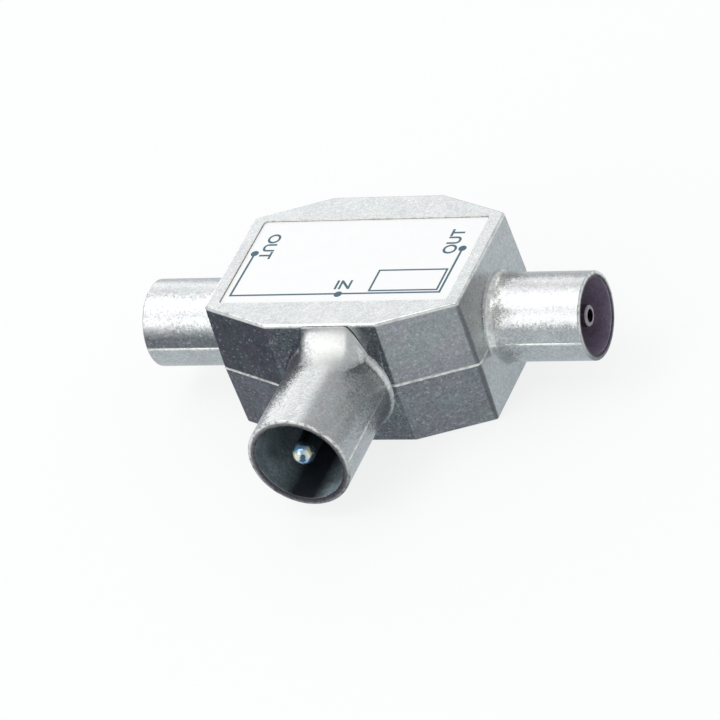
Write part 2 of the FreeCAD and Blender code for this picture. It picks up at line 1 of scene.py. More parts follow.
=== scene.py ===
import json
import math
import bmesh
import bpy
from mathutils import Matrix, Vector


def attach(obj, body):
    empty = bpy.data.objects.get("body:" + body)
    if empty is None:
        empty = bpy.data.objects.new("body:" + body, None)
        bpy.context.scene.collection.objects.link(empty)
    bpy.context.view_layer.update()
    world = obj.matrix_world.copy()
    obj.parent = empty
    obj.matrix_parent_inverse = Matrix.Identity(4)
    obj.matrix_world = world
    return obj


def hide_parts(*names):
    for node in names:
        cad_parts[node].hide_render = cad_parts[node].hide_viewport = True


# Two-way coaxial splitter: a nickel-plated zinc casting with three ports and a printed label
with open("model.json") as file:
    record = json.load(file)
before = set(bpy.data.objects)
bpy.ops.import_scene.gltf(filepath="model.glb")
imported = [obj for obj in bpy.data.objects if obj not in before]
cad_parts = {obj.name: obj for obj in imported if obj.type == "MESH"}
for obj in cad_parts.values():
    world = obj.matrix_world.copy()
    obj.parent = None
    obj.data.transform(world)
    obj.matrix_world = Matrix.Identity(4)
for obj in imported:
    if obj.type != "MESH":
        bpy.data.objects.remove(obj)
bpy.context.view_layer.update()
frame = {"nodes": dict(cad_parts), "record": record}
nodes = frame["nodes"]
mm = 0.001
print("frame loaded:", len(nodes), "CAD nodes")


# Colours are written as sRGB hex and turned to linear here
def sRgb(code):
    channels = [int(code[i:i + 2], 16) / 255 for i in (1, 3, 5)]
    return [c / 12.92 if c <= 0.04045 else ((c + 0.055) / 1.055) ** 2.4 for c in channels] + [1.0]


# Adds one shader node with its settings. Its inputs go by name or in order: links, colour codes or values
def addNode(tree, kind, inputs=(), **settings):
    node = tree.nodes.new("ShaderNode" + kind)
    for name, setting in settings.items():
        setattr(node, name, setting)
    for name, source in inputs.items() if isinstance(inputs, dict) else enumerate(inputs):
        if isinstance(source, bpy.types.NodeSocket):
            tree.links.new(source, node.inputs[name])
        else:
            node.inputs[name].default_value = sRgb(source) if isinstance(source, str) else source
    return node.outputs


def newMaterial(name):
    material = bpy.data.materials.new(name)
    material.use_nodes = True
    material.node_tree.nodes.clear()
    return material, material.node_tree


# Object coordinates in millimetres, so that every pattern below is sized in millimetres
def placeInMm(tree):
    place = addNode(tree, "TexCoord")["Object"]
    return addNode(tree, "Mapping", {"Vector": place, "Scale": (1 / mm, 1 / mm, 1 / mm)})[0]


# How far each value has come along its range, all multiplied together. A range runs from nothing to all, or
# from its third number to its fourth where it has four. A part without a range counts as it is
def maskOf(tree, *parts):
    mask = None
    for part in parts:
        if isinstance(part, tuple):
            value, reach = part
            part = addNode(tree, "MapRange", (value, *reach))[0]
        mask = part if mask is None else addNode(tree, "Math", (mask, part), operation="MULTIPLY")[0]
    return mask


# The first colour with the others laid over it, each through its own mask
def paintOver(tree, colour, *coats):
    for mask, coat in coats:
        colour = addNode(tree, "Mix", {0: mask, 6: colour, 7: coat}, data_type="RGBA")[2]
    return colour


def closeMaterial(tree, inputs):
    shader = addNode(tree, "BsdfPrincipled", inputs)[0]
    addNode(tree, "OutputMaterial", [shader])


# Sizes of the casting in millimetres
box = {"halfLength": 15.15, "halfDepth": 11.35, "top": 15.8, "edge": 0.3}
port = {
    "height": 7.7,             # of the three axes above the underside
    "sleeveRadius": 4.75,
    "sleeveBore": 4.05,
    "sleeveFloor": 14.45,
    "sleeveMouth": 25.8,
    "shellRadius": 5.7,
    "shellBore": 4.85,
    "shellFloor": 10.65,
    "shellMouth": 23.9,
    "floorSlack": 0.05,        # how far past a bore's floor and wall its faces may lie
    "wallSlack": 0.02,
}
casting = {
    "light": "#d3d4d2",        # bright plating
    "dark": ("#a7adac", "#aeabaf"),
    "paintedShadeLight": ("#6d7a7c", "#777180"),    # painted shade on the walls that face the front left, its lighter end, in two stain tones
    "paintedShadeDark": "#2f2e39",
    "glint": "#e4e4e2",        # painted glints on the few brightest crystals
    "rubbedAndHighlit": "#f5f4ee",       # edges and parting line worn bright by tumbling, and painted highlight on the top edge, saddle, port roots and mouths' outer edges
    "mouthLight": "#a09d9c",
    "mouthDark": "#524f56",
    "chip": "#3b383e",
    "frontLeft": (-0.6, -0.8, 0),    # the way that the walls with the deepest painted shade face
    "saddle": (1.3, -12.6, 14.2),    # middle of the painted highlight between the top and the front shell
    "darkEdge": (14.9, -7.8),        # upright edge on the right with a painted dark line of shade
    # each noise's size in mm, its detail and its roughness
    "noises": {
        "wear": (0.7, 3.0, 0.6),
        "grain": (0.12, 3.0, 0.65),
        "pits": (0.5, 3.0, 0.7),
        "mottling": (2.4, 4.0, 0.6),
        "stain": (3.5, 2.0, 0.5),
    },
    "crystal": 0.2,            # mm: finer on the real skin, and drawn this coarse so that it shows
    "bumpDepth": 0.012,
    "bump": 0.6,
    "chipDepth": -2.0,         # of a chip, in bump depths
    "lineWander": 0.2,         # how far the parting line's middle strays upwards, in mm
    "crystalTilt": 0.1,
    "sparkle": 0.6,            # share of the tone that changes from crystal to crystal
    "mouthContrast": 2.2,
    "rough": (0.2, 0.36),
    "dullRough": 0.2,
    "saddleRough": 2.2,        # how many times dullRough the saddle's painted highlight patch is rougher
}

# Ranges of the casting's masks, from nothing to all, or from the third number to the fourth where there are
# four. Places are in mm, turns are how squarely a face looks to the front left, the rest are parts of a noise
skin = {
    "boxEnds": (box["halfLength"] + 0.8, box["halfLength"] + 0.1),
    "boxFront": (-box["halfDepth"] - 0.4, -box["halfDepth"] - 0.1),
    "belowTop": (box["top"] - 0.25, box["top"] - 0.45),
    # painted shade on the walls: lower down where they turn to the side, where they face the front left, and
    # deepest on the upper half of the squarest faces
    "lowerHalf": (0.05, -0.05, 0.0, 0.6),
    "towardsFloor": (4.0, 0.0, 0.0, 0.4),
    "turnToSide": (0.7, 0.5, -0.1, 0.3),
    "turnToFront": (0.32, 0.84),
    "turnFromTop": (0.15, 0.4),
    "turnSquare": (0.85, 0.97),
    "upperHalf": (-0.05, 0.05, 0.0, 0.45),
    # the saddle's painted highlight, and how far the painted shade keeps clear of it
    "clearOfSaddle": (2.6, 4.0),
    "onSaddle": (3.4, 1.2, 0.0, 0.6),
    "darkEdge": (0.38, 0.14, 0.0, 0.75),
    # painted shade in a band along the front of each sleeve, above the parting line and weaker on the right
    "bandStart": (box["halfLength"] + 0.3, box["halfLength"] + 0.8),
    "bandTop": (2.9, 1.3),
    "bandFoot": (0.0, 0.3),
    "bandFront": (-2.5, -3.5),
    "bandLeft": (-1.0, 1.0, 0.74, 0.0),
    # edge round the top and parting line, worn bright by tumbling, with painted highlight along the rounded
    # top edge
    "edgeFoot": (box["top"] - box["edge"] * 1.5, box["top"] - box["edge"] * 0.8),
    "edgeRim": (box["top"] - 0.004, box["top"] - 0.02),
    "partingLine": (0.19, 0.12),
    "edgeWear": (0.38, 0.55, 0.45, 1.0),
    # mouths of the ports: depths back from the mouth, and widths in from the outer edge and out from the bore
    "mouthDepths": (0.16, 0.06),
    "brightWidths": (0.42, 0.26),
    "innerWidths": (0.36, 0.16),
    # painted highlight on the outer edges, stronger towards the top, and painted light on the mouths' faces,
    # paler towards the top
    "brightEdgeBreakup": (0.36, 0.5, 0.25, 1.0),
    "brightPaintedLight": (-3.0, 3.0, 0.25, 1.0),
    "mouthPaintedLight": (-3.0, 4.0, -0.95, -0.3),
    "chips": (0.55, 0.64),
    "innerChips": (0.38, 0.5, 0.1, 0.9),
    # painted highlight on the roots of the ports: distances out from the box, and heights over the port
    "rootStarts": (0.05, 0.15),
    "rootEnds": (2.6, 0.5),
    "rootHeights": (1.3, 0.9),
    "rootTop": (-0.5, 0.5),
    "rootRight": (-1.0, 1.0),
    "rootHighlightBreakup": (0.4, 0.55, 0.4, 0.9),
    "mottling": (0.35, 0.65, 0.0, 0.2),
    "stain": (0.35, 0.65),
    # painted glints on the brightest crystals
    "glint": (0.92, 1.0, 0.0, 0.22),
    "roughGrain": (0.3, 0.7),
    "outside": (1.0, 0.0),     # where another mask isn't
}


# What the casting's masks are measured from: its coordinates, distances, the way it faces and its noises
def castingPlaces(tree):
    place = placeInMm(tree)
    axes = addNode(tree, "SeparateXYZ", [place])
    normal = addNode(tree, "TexCoord")["Normal"]
    facing = addNode(tree, "VectorMath", (normal, casting["frontLeft"]), operation="DOT_PRODUCT")["Value"]
    towardsEdge = [addNode(tree, "Math", (axes[name], middle), operation="SUBTRACT")[0]
                   for name, middle in zip("XY", casting["darkEdge"])]
    edgeSquares = [addNode(tree, "Math", (side, 2), operation="POWER")[0] for side in towardsEdge]
    edgeSum = addNode(tree, "Math", edgeSquares, operation="ADD")[0]
    places = {
        "place": place,
        "x": axes["X"],
        "y": axes["Y"],
        "z": axes["Z"],
        "alongX": addNode(tree, "Math", [axes["X"]], operation="ABSOLUTE")[0],
        "fromAxis": addNode(tree, "Math", (axes["Z"], port["height"]), operation="SUBTRACT")[0],
        "facing": facing,
        "fromSaddle": addNode(tree, "VectorMath", (place, casting["saddle"]), operation="DISTANCE")["Value"],
        "fromEdge": addNode(tree, "Math", [edgeSum], operation="SQRT")[0],
    }
    for name, (size, detail, roughness) in casting["noises"].items():
        places[name] = addNode(tree, "TexNoise", {
            "Vector": place, "Scale": 1 / size, "Detail": detail, "Roughness": roughness})["Fac"]
    return places


# Painted shade on the front walls and the sleeve fronts, which are also rougher, and a painted dark line
# along one upright edge
def paintedShadeMasks(tree, at):
    # painted shade on the box's walls that face the front left, and lower down on those turned to the side,
    # clear of the saddle's painted highlight
    onBox = maskOf(tree, (at["alongX"], skin["boxEnds"]), (at["y"], skin["boxFront"]),
                   (at["z"], skin["belowTop"]))
    low = addNode(tree, "Math", (maskOf(tree, (at["fromAxis"], skin["lowerHalf"])),
                                 maskOf(tree, (at["fromAxis"], skin["towardsFloor"]))), operation="ADD")[0]
    under = maskOf(tree, low, (at["facing"], skin["turnToSide"]))
    front = maskOf(tree, (at["facing"], skin["turnToFront"]))
    dullness = addNode(tree, "Math", (front, under), operation="ADD")[0]
    walls = maskOf(tree, addNode(tree, "Clamp", [dullness])[0], (at["facing"], skin["turnFromTop"]), onBox,
                   (at["fromSaddle"], skin["clearOfSaddle"]))
    # painted shade in a band along the front of each sleeve
    band = maskOf(tree, (at["alongX"], skin["bandStart"]), (at["fromAxis"], skin["bandTop"]),
                  (at["fromAxis"], skin["bandFoot"]), (at["y"], skin["bandFront"]),
                  (at["x"], skin["bandLeft"]))
    dullAndShaded = addNode(tree, "Math", (walls, band), operation="MAXIMUM")[0]
    # painted shade: a dark line along the upright edge on the right
    return dullAndShaded, maskOf(tree, (at["fromEdge"], skin["darkEdge"]), onBox)


# Edges round the top and the parting line, worn bright by tumbling, with painted highlight along the rounded
# top edge
def rubbedAndHighlitEdges(tree, at):
    topEdge = maskOf(tree, (at["z"], skin["edgeFoot"]), (at["z"], skin["edgeRim"]))
    middle = addNode(tree, "Math", (at["fromAxis"], casting["lineWander"] / 2), operation="SUBTRACT")[0]
    wander = addNode(tree, "Math", (at["wear"], casting["lineWander"], middle), operation="MULTIPLY_ADD")[0]
    fromLine = addNode(tree, "Math", [wander], operation="ABSOLUTE")[0]
    line = maskOf(tree, (fromLine, skin["partingLine"]))
    edges = addNode(tree, "Math", (topEdge, line), operation="MAXIMUM")[0]
    return maskOf(tree, edges, (at["wear"], skin["edgeWear"]))


# Masks of the ports: mouths, the painted highlight on their outer edges, their chipped inner edges and the
# painted highlight on their roots.
# Each is made for the two sleeves together and for the shell, and the larger counts
def portMasks(tree, at):
    upSquare = addNode(tree, "Math", (at["fromAxis"], 2), operation="POWER")[0]
    outwards = addNode(tree, "Math", (at["y"], -1), operation="MULTIPLY")[0]
    pairs = []
    for name, along, across, wall in (("sleeve", at["alongX"], at["y"], box["halfLength"]),
                                      ("shell", outwards, at["x"], box["halfDepth"])):
        mouth, radius, inner = [port[name + part] for part in ("Mouth", "Radius", "Bore")]
        acrossSquare = addNode(tree, "Math", (across, 2), operation="POWER")[0]
        square = addNode(tree, "Math", (acrossSquare, upSquare), operation="ADD")[0]
        fromMiddle = addNode(tree, "Math", [square], operation="SQRT")[0]
        atMouth = maskOf(tree, (along, [mouth - depth for depth in skin["mouthDepths"]]))
        pairs.append((
            atMouth,
            maskOf(tree, atMouth, (fromMiddle, [radius - width for width in skin["brightWidths"]])),
            maskOf(tree, atMouth, (fromMiddle, [inner + width for width in skin["innerWidths"]])),
            maskOf(tree, (along, [wall + start for start in skin["rootStarts"]]),
                   (along, [wall + end for end in skin["rootEnds"]]),
                   (fromMiddle, [radius + height for height in skin["rootHeights"]])),
        ))
    mouths, bright, inner, roots = [addNode(tree, "Math", pair, operation="MAXIMUM")[0]
                                    for pair in zip(*pairs)]
    # painted highlight: the outer edges brighter towards the top, and the roots of the ports
    bright = maskOf(tree, bright, (at["wear"], skin["brightEdgeBreakup"]), (at["fromAxis"], skin["brightPaintedLight"]))
    roots = maskOf(tree, roots, (at["fromAxis"], skin["rootTop"]), (at["x"], skin["rootRight"]),
                   (at["wear"], skin["rootHighlightBreakup"]))
    return mouths, bright, inner, roots


# Nickel-plated zinc die casting, plated in a barrel as cast: satin with a crystalline sparkle and painted
# glints. The front walls carry painted shade, edges and parting line are worn bright with painted highlight
# on the top edge, saddle and port roots, and the mouths are rough with painted light paler towards the top
def makeCasting():
    material, tree = newMaterial("nickelPlatedZincCasting")
    at = castingPlaces(tree)
    dullAndShaded, darkEdge = paintedShadeMasks(tree, at)
    mouth, brightEdge, innerEdge, root = portMasks(tree, at)
    # painted highlight on the saddle and the roots of the ports, laid on with the edges worn bright
    onSaddle = maskOf(tree, (at["fromSaddle"], skin["onSaddle"]))
    rootOrSaddle = addNode(tree, "Math", (root, onSaddle), operation="MAXIMUM")[0]
    rubbedAndHighlit = addNode(tree, "Math", (rubbedAndHighlitEdges(tree, at), rootOrSaddle), operation="MAXIMUM")[0]
    rubbedAndHighlit = maskOf(tree, rubbedAndHighlit, (mouth, skin["outside"]))
    bright = addNode(tree, "Math", (rubbedAndHighlit, brightEdge), operation="MAXIMUM")[0]
    chips = addNode(tree, "Math", (
        maskOf(tree, (at["pits"], skin["chips"]), mouth, (brightEdge, skin["outside"])),
        maskOf(tree, innerEdge, (at["pits"], skin["innerChips"]))), operation="MAXIMUM")[0]

    # every crystal of the skin has its own tone and tilts its own way
    crystals = addNode(tree, "TexVoronoi", {"Vector": at["place"], "Scale": 1 / casting["crystal"]})["Color"]
    glint = addNode(tree, "SeparateXYZ", [crystals])["X"]
    mottled = addNode(tree, "Math", (maskOf(tree, (at["mottling"], skin["mottling"])),
                                     maskOf(tree, (at["grain"], skin["mottling"]))), operation="ADD")[0]
    tone = addNode(tree, "Math", (glint, casting["sparkle"], mottled), operation="MULTIPLY_ADD")[0]
    stain = maskOf(tree, (at["stain"], skin["stain"]))
    plating = paintOver(tree, paintOver(tree, casting["dark"][0], (stain, casting["dark"][1])),
                        (tone, casting["light"]))
    # painted shade of the front walls, between two dark plating tones, deepest on the upper half of the
    # squarest faces
    stainedShade = paintOver(tree, casting["paintedShadeLight"][0], (stain, casting["paintedShadeLight"][1]))
    deepestShade = maskOf(tree, (at["facing"], skin["turnSquare"]), (at["fromAxis"], skin["upperHalf"]))
    shadedPlating = paintOver(tree, casting["paintedShadeDark"], (tone, stainedShade), (deepestShade, casting["paintedShadeDark"]))
    # the mouths' pitted faces with painted light, paler towards the top
    height = maskOf(tree, (at["fromAxis"], skin["mouthPaintedLight"]))
    pale = addNode(tree, "Math", (at["pits"], casting["mouthContrast"], height), operation="MULTIPLY_ADD")[0]
    pittedMouthPaintedLight = paintOver(tree, casting["mouthDark"], (pale, casting["mouthLight"]))
    # painted glints on the brightest crystals, over the plating and the painted shade
    paintedGlints = maskOf(tree, (glint, skin["glint"]))
    colour = paintOver(tree, plating, (dullAndShaded, shadedPlating), (paintedGlints, casting["glint"]),
                       (darkEdge, casting["chip"]), (mouth, pittedMouthPaintedLight), (chips, casting["chip"]),
                       (bright, casting["rubbedAndHighlit"]))

    worn = addNode(tree, "Math", (onSaddle, casting["saddleRough"]), operation="MULTIPLY")[0]
    dullOrMouth = addNode(tree, "Math", (dullAndShaded, mouth), operation="MAXIMUM")[0]
    rougher = addNode(tree, "Math", (dullOrMouth, worn), operation="MAXIMUM")[0]
    grainRough = maskOf(tree, (at["grain"], (*skin["roughGrain"], *casting["rough"])))
    rough = addNode(tree, "Math", (rougher, casting["dullRough"], grainRough), operation="MULTIPLY_ADD")[0]

    relief = addNode(tree, "Math", (chips, casting["chipDepth"], at["grain"]), operation="MULTIPLY_ADD")[0]
    bump = addNode(tree, "Bump", {
        "Strength": casting["bump"], "Distance": casting["bumpDepth"] * mm, "Height": relief})[0]
    tilt = casting["crystalTilt"]
    lean = addNode(tree, "VectorMath", (crystals, (tilt, tilt, tilt), (-tilt / 2, -tilt / 2, -tilt / 2)),
                   operation="MULTIPLY_ADD")[0]
    leaning = addNode(tree, "VectorMath", (bump, lean), operation="ADD")[0]
    tilted = addNode(tree, "VectorMath", [leaning], operation="NORMALIZE")[0]
    closeMaterial(tree, {"Base Color": colour, "Metallic": 1.0, "Roughness": rough, "Normal": tilted})
    return material


bore = {
    # painted shade: the bores' dark colours, lightened only by the painted light at the sides
    "shell": ("#22252e", "#c6d8de"),
    "sleeve": ("#6f6078", "#b8a9bd"),
    "metal": 0.5,
    "rough": 0.4,
    "streak": 0.3,             # sizes of the patterns in mm
    "blotch": 2.5,
    "relief": 0.012,
    "bump": 0.4,
    # ranges of the masks: where the sleeves' colours begin, the painted light on either side of the painted
    # shade streak along the shell's floor, and the tone of both noises together
    "sleeveStart": (8.0, 10.0),
    "paintedLightLeft": (-2.2, -3.8, 0.05, 0.75),
    "paintedLightRight": (0.0, 1.8, 0.05, 1.0),
    "tone": (0.1, 0.4, 0.4, 1.2),
}


# Inside of the ports, over the marks of drawn cores: blue-green in the shell and mauve in the sleeves, darker
# than the outside as painted shade, with painted light on the sides of the shell's floor
def makeBoreCasting():
    material, tree = newMaterial("boreWithPaintedShade")
    place = placeInMm(tree)
    streaks = addNode(tree, "TexNoise", {"Vector": place, "Scale": 1 / bore["streak"], "Detail": 4.0})["Fac"]
    blotches = addNode(tree, "TexNoise", {"Vector": place, "Scale": 1 / bore["blotch"], "Detail": 2.0})["Fac"]
    side = addNode(tree, "SeparateXYZ", [place])["X"]
    alongX = addNode(tree, "Math", [side], operation="ABSOLUTE")[0]
    # painted shade: a dark streak along the middle of the shell's floor, with painted light on both sides
    streak = addNode(tree, "Math", (maskOf(tree, (side, bore["paintedLightLeft"])),
                                    maskOf(tree, (side, bore["paintedLightRight"]))), operation="MAXIMUM")[0]
    tone = maskOf(tree, (maskOf(tree, streaks, blotches), bore["tone"]), streak)
    shell, sleeve = [paintOver(tree, bore[name][0], (tone, bore[name][1])) for name in ("shell", "sleeve")]
    colour = paintOver(tree, shell, (maskOf(tree, (alongX, bore["sleeveStart"])), sleeve))
    bump = addNode(tree, "Bump", {
        "Strength": bore["bump"], "Distance": bore["relief"] * mm, "Height": streaks})[0]
    closeMaterial(tree, {
        "Base Color": colour, "Metallic": bore["metal"], "Roughness": bore["rough"], "Normal": bump})
    return material


# Plain finishes of the other parts: two close colours, a roughness range and a light relief from one noise
finishes = {
    # pressed steel, barrel-plated: even satin grey
    "platedSteelSheet": {"slot": "plated_sheet", "colours": ("#a3a3a6", "#b5b5b8"), "metal": 1.0,
                         "rough": (0.3, 0.42), "grain": 0.5, "relief": 0.006},
    # printed film: flat white with a soft gloss
    "polyesterLabelFilm": {"slot": "label_film", "colours": ("#f6f4f2", "#f7f6f4"), "metal": 0.0,
                           "rough": (0.34, 0.42), "grain": 1.6, "relief": 0.002},
    # moulded plastic: dark and half matt
    "mouldedInsulator": {"slot": "insulator_plastic", "colours": ("#2a242d", "#39323d"), "metal": 0.0,
                         "rough": (0.42, 0.55), "grain": 0.4, "relief": 0.01},
    # turned brass, plated long ago: warm grey with a dulled shine
    "tarnishedNickelPlatedBrass": {"slot": "plated_contact", "colours": ("#857b82", "#a0959b"), "metal": 1.0,
                                   "rough": (0.18, 0.3), "grain": 0.4, "relief": 0.003},
    # pressed and cut laminate: honey-coloured and fibrous
    "glassEpoxyLaminate": {"slot": "board_laminate", "colours": ("#8a7439", "#9c8647"), "metal": 0.0,
                           "rough": (0.4, 0.55), "grain": 0.5, "relief": 0.008},
    # sintered and tumbled: nearly black and dry
    "sinteredFerrite": {"slot": "ferrite", "colours": ("#2c2b2d", "#3b3a3c"), "metal": 0.0,
                        "rough": (0.5, 0.7), "grain": 0.2, "relief": 0.01},
    # drawn copper under clear enamel: deep copper red with a clean shine
    "enamelledCopperWire": {"slot": "enamelled_wire", "colours": ("#a24a1c", "#b9602a"), "metal": 1.0,
                            "rough": (0.2, 0.3), "grain": 0.3, "relief": 0.002},
    # dipped and dried: beige and slightly wavy
    "dippedResistorCoating": {"slot": "resistor_coating", "colours": ("#c7ad78", "#d3bb88"), "metal": 0.0,
                              "rough": (0.35, 0.5), "grain": 0.4, "relief": 0.008},
    # dipped and baked: orange brown and glossier
    "dippedCapacitorCoating": {"slot": "capacitor_coating", "colours": ("#b5702c", "#c8823a"), "metal": 0.0,
                               "rough": (0.25, 0.4), "grain": 0.6, "relief": 0.008},
    # hot-tinned wire: pale silver
    "tinnedCopperWire": {"slot": "tinned_wire", "colours": ("#b9b9b9", "#c8c8c8"), "metal": 1.0,
                         "rough": (0.25, 0.35), "grain": 0.3, "relief": 0.002},
    # solder as it froze: bright in places, frosted in others
    "softSolder": {"slot": "solder", "colours": ("#aeb0b2", "#c2c4c6"), "metal": 1.0,
                   "rough": (0.2, 0.45), "grain": 0.5, "relief": 0.01},
}
finishSpread = (0.3, 0.7)      # values of the noise between which a finish goes from one end to the other
finishBump = 0.5


def makeFinish(name):
    finish = finishes[name]
    material, tree = newMaterial(name)
    grain = addNode(tree, "TexNoise", {
        "Vector": placeInMm(tree), "Scale": 1 / finish["grain"], "Detail": 3.0, "Roughness": 0.5})["Fac"]
    spread = maskOf(tree, (grain, finishSpread))
    bump = addNode(tree, "Bump", {
        "Strength": finishBump, "Distance": finish["relief"] * mm, "Height": grain})[0]
    closeMaterial(tree, {
        "Base Color": paintOver(tree, finish["colours"][0], (spread, finish["colours"][1])),
        "Metallic": finish["metal"], "Roughness": maskOf(tree, (grain, (*finishSpread, *finish["rough"]))),
        "Normal": bump})
    return material


contact = {
    "shank": "#50565b",
    "paintedReflections": ("#8fbfe0", "#f7f3d6"),    # painted reflection in blue and cream on the nose
    "tintSize": 1.3,                     # sizes of the patterns in mm
    "tintEdge": (0.42, 0.58),
    # painted dark reflection in blotches on the nose
    "paintedDarkReflection": "#262c4a",
    "darkReflectionSize": 0.9,
    "darkReflectionEdge": (0.5, 0.56, 0.0, 0.85),
    "nose": (-21.8, -22.4),              # along Y, where the polish sets in
    "metal": (1.0, 0.6),                 # of the shank and of the nose
    "rough": (0.35, 0.12),
}


# Centre contact of the shell, turned brass, nickel-plated: its nose has a polish from the plugs pushed over
# it, and carries painted reflections in blue, cream and dark blue
def makeContact():
    material, tree = newMaterial("turnedNickelPlatedBrass")
    place = placeInMm(tree)
    along = addNode(tree, "SeparateXYZ", [place])["Y"]
    nose = maskOf(tree, (along, contact["nose"]))
    paintedReflections, paintedDarkReflection = [
        addNode(tree, "TexNoise", {"Vector": place, "Scale": 1 / contact[size], "Detail": 1.0})["Fac"]
        for size in ("tintSize", "darkReflectionSize")]
    # painted reflection on the nose
    paintedNoseReflection = paintOver(tree, contact["paintedReflections"][0],
                         (maskOf(tree, (paintedReflections, contact["tintEdge"])), contact["paintedReflections"][1]),
                         (maskOf(tree, (paintedDarkReflection, contact["darkReflectionEdge"])), contact["paintedDarkReflection"]))
    closeMaterial(tree, {
        "Base Color": paintOver(tree, contact["shank"], (nose, paintedNoseReflection)),
        "Metallic": maskOf(tree, (nose, (0, 1, *contact["metal"]))),
        "Roughness": maskOf(tree, (nose, (0, 1, *contact["rough"])))})
    return material


castSkin = makeCasting()
boreSkin = makeBoreCasting()
contactSkin = makeContact()
made = {name: makeFinish(name) for name in finishes}
bySlot = {finish["slot"]: made[name] for name, finish in finishes.items()}
print("skins and finishes made:", len(made), "finishes")


# A merged copy of a CAD node's mesh, smooth but for its real edges, which turn by over sharpAngle degrees
def smoothCopy(nodeName, pieceName, sharpAngle=28):
    mesh = nodes[nodeName].data.copy()
    mesh.name = pieceName
    work = bmesh.new()
    work.from_mesh(mesh)
    bmesh.ops.remove_doubles(work, verts=work.verts, dist=0.0005 * mm)
    for face in work.faces:
        face.smooth = True
    for edge in work.edges:
        if len(edge.link_faces) == 2:
            edge.smooth = edge.calc_face_angle() < math.radians(sharpAngle)
    work.to_mesh(mesh)
    work.free()
    piece = bpy.data.objects.new(pieceName, mesh)
    bpy.context.scene.collection.objects.link(piece)
    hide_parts(nodeName)
    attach(piece, "root")
    mesh.materials.clear()
    return piece


# A new object from a finished bmesh, in one material
def addObject(name, work, material):
    mesh = bpy.data.meshes.new(name)
    work.to_mesh(mesh)
    work.free()
    mesh.materials.append(material)
    added = bpy.data.objects.new(name, mesh)
    bpy.context.scene.collection.objects.link(added)
    return added


# Whether a face of the housing lies in one of the three bores, from its middle in millimetres
def isBore(middle):
    x, y, z = middle
    up = z - port["height"]
    pastSleeveFloor = abs(x) > port["sleeveFloor"] - port["floorSlack"]
    pastShellFloor = -y > port["shellFloor"] - port["floorSlack"]
    inSleeve = pastSleeveFloor and math.hypot(y, up) < port["sleeveBore"] + port["wallSlack"]
    inShell = pastShellFloor and math.hypot(x, up) < port["shellBore"] + port["wallSlack"]
    return inSleeve or inShell


castHousing = smoothCopy("housing", "castHousing", sharpAngle=42)
castHousing.data.materials.append(castSkin)
castHousing.data.materials.append(boreSkin)
for face in castHousing.data.polygons:
    face.material_index = 1 if isBore(face.center / mm) else 0
weighting = castHousing.modifiers.new("flatWallsStayFlat", "WEIGHTED_NORMAL")
weighting.keep_sharp = True
print("housing:", len(castHousing.data.polygons), "faces")

# Contacts and insulators, which show in the mouths of the ports
turned = (
    ("input_contact", "inputContact", contactSkin),
    ("output_contact_right", "outputContactRight", made["tarnishedNickelPlatedBrass"]),
    ("output_contact_left", "outputContactLeft", made["tarnishedNickelPlatedBrass"]),
    ("input_insulator", "inputInsulator", made["mouldedInsulator"]),
    ("output_insulator_right", "outputInsulatorRight", made["mouldedInsulator"]),
    ("output_insulator_left", "outputInsulatorLeft", made["mouldedInsulator"]),
)
for nodeName, pieceName, material in turned:
    piece = smoothCopy(nodeName, pieceName)
    piece.data.materials.append(material)
print("contacts and insulators:", len(turned), "pieces")

# The other nodes are shown as they are, in the finish of their slot
for part in frame["record"]["subparts"]:
    node = nodes[part["node"]]
    if not node.hide_render:
        node.data.materials.clear()
        node.data.materials.append(bySlot[part["material_slot"]])
print("CAD nodes dressed")


# Printing on the label, a dark slate ink that lies flat on the film. Sizes and places are in mm
ink = {
    "colours": ("#28505f", "#375f70"),
    "patch": 0.3,
    "rough": 0.45,
    "height": 15.62,
    "thickness": 0.012,
    "layer": 0.0015,       # each stroke is this much thicker than the one before, so that crossings are clean
    "line": 0.25,
    "frameLine": 0.225,
    "dot": 0.46,
    "dotSides": 32,
    "letterWeight": 0.02,
    "bracket": [(-12.5, 1.6), (-12.62, -5.62), (12.0, -5.62), (12.05, 1.75)],
    "inputDot": (0.2, -5.7),
    "frame": (3.65, 11.55, -5.2, -1.75),
    # what is written, where its middle is, its height and width, and its turn in degrees
    "words": (("OUT", (-11.1, 2.75), 1.5, 4.3, -90), ("OUT", (10.6, 3.0), 1.6, 4.2, 90),
              ("IN", (0.25, -4.1), 1.5, 1.8, 0)),
}


# Screen-printed ink: slate blue, slightly uneven, with a soft gloss
def makeInk():
    material, tree = newMaterial("screenPrintedInk")
    patches = addNode(tree, "TexNoise", {
        "Vector": placeInMm(tree), "Scale": 1 / ink["patch"], "Detail": 2.0})["Fac"]
    colour = paintOver(tree, ink["colours"][0], (patches, ink["colours"][1]))
    closeMaterial(tree, {"Base Color": colour, "Roughness": ink["rough"]})
    return material


# A flat bar between two points of the label, as thick as the ink and its layer
def addInkBar(work, start, end, width, layer):
    a = Vector((*start, 0))
    b = Vector((*end, 0))
    along = b - a
    turnAndMove = Matrix.Translation((a + b) / 2) @ Matrix.Rotation(math.atan2(along.y, along.x), 4, "Z")
    size = Matrix.Diagonal((along.length + width, width, ink["thickness"] + layer * ink["layer"], 1))
    bmesh.ops.create_cube(work, size=1, matrix=turnAndMove @ size)


def addInkDot(work, place):
    bmesh.ops.create_cone(work, cap_ends=True, segments=ink["dotSides"], radius1=ink["dot"],
                          radius2=ink["dot"], depth=ink["thickness"] * 2,
                          matrix=Matrix.Translation((*place, 0)))


